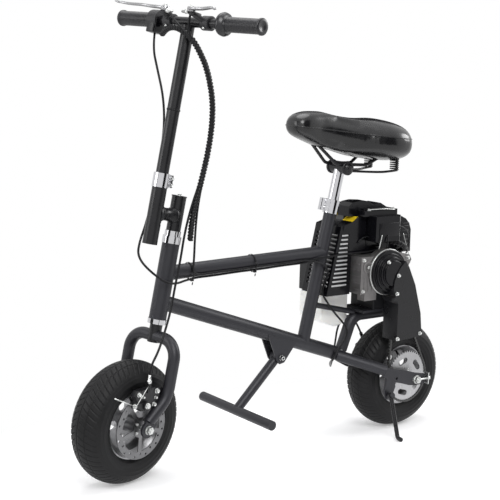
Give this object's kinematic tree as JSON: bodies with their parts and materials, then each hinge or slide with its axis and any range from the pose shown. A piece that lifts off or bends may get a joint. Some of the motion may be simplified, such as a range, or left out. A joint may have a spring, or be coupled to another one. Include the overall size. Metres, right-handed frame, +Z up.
{
  "type": "minibike",
  "caption": "Small seated minibike: tubular frame, upright bars on a sliding mast, fat tyres, a two-stroke engine over the rear wheel, chain drive, side stand and folding footrest.",
  "frame": {"origin": "on the floor, under the middle of the machine's bounding box as it stands leaned on its side stand", "axes": "+X points to the front, +Y to the rider's left, +Z up"},
  "size_m": [1.103, 0.4252, 1.0798],
  "materials": {
    "frame_paint": "matte charcoal powder coat",
    "satin_black": "satin black paint",
    "chrome": "bright chrome",
    "zinc": "zinc plated",
    "cast_alloy": "cast alloy",
    "engine_black": "gloss black moulding",
    "housing_plastic": "dark grey moulding",
    "tank_plastic": "milky translucent plastic",
    "dark_steel": "oiled chain steel",
    "cable_rubber": "black cable sheath",
    "grip_rubber": "moulded rubber",
    "tyre": "black rubber",
    "rim_alloy": "cast alloy rim",
    "disc_steel": "ground steel disc",
    "saddle_vinyl": "smooth black vinyl"
  },
  "bodies": {
    "frame": {"head_tube": "frame_paint", "headset": "chrome", "top_tube": "frame_paint", "down_tube": "frame_paint", "seat_tube": "frame_paint", "seat_clamp": "chrome", "rear_stays": "frame_paint", "rear_axle": "zinc", "engine_cradle": "frame_paint", "engine_mount": "satin_black", "engine_block": "cast_alloy", "clutch_bell": "engine_black", "chain_case": "satin_black", "engine_shroud": "engine_black", "air_cleaner": "engine_black", "recoil_starter": "engine_black", "muffler": "satin_black", "fuel_tank": "tank_plastic", "drive_chain": "dark_steel", "rear_caliper": "satin_black", "footrest_bracket": "frame_paint"},
    "steering": {"steerer": "satin_black", "fork_legs": "frame_paint", "front_axle": "zinc", "stem": "satin_black", "bar_collar": "chrome", "front_caliper": "satin_black", "control_cables": "cable_rubber"},
    "bars": {"mast": "satin_black", "handlebar": "satin_black", "grips": "grip_rubber", "brake_levers": "cast_alloy", "control_housings": "housing_plastic"},
    "front_wheel": {"front_tyre": "tyre", "front_rim": "rim_alloy", "front_rotor": "disc_steel"},
    "rear_wheel": {"rear_tyre": "tyre", "rear_rim": "rim_alloy", "sprocket": "disc_steel", "rear_rotor": "disc_steel"},
    "footrest": {"footrest": "frame_paint"},
    "side_stand": {"side_stand": "satin_black"},
    "seat": {"seat_post": "chrome", "saddle_rails": "satin_black", "saddle": "saddle_vinyl"}
  },
  "joints": [
    {"name": "steering", "type": "hinge", "parent": "frame", "child": "steering", "pos_m": [0.32569, -0.05199, 0.36443], "axis": [-0.1879, 0.0565, 0.9806], "range_deg": [-50, 26], "deforming": ["control_cables"]},
    {"name": "bar_height", "type": "slide", "parent": "steering", "child": "bars", "axis": [-0.1879, 0.0565, 0.9806], "range_m": [-0.06, 0.03], "deforming": ["control_cables"]},
    {"name": "front_wheel_spin", "type": "hinge", "parent": "steering", "child": "front_wheel", "pos_m": [0.41247, -0.05554, 0.14059], "axis": [-0.2076, 0.9735, -0.0959], "continuous": true},
    {"name": "rear_wheel_spin", "type": "hinge", "parent": "frame", "child": "rear_wheel", "pos_m": [-0.41055, -0.06488, 0.14085], "axis": [0, 0.9983, -0.0576], "continuous": true, "deforming": ["drive_chain"]},
    {"name": "footrest_fold", "type": "hinge", "parent": "frame", "child": "footrest", "pos_m": [-0.0216, -0.05963, 0.23192], "axis": [0, -0.9983, 0.0576], "range_deg": [0, 60]},
    {"name": "side_stand_fold", "type": "hinge", "parent": "frame", "child": "side_stand", "pos_m": [-0.31353, 0.0344, 0.10814], "axis": [-0.0002, 0.9207, 0.3903], "range_deg": [0, 88]},
    {"name": "seat_height", "type": "slide", "parent": "frame", "child": "seat", "axis": [-0.2221, 0.0561, 0.9734], "range_m": [-0.06, 0.04]}
  ]
}
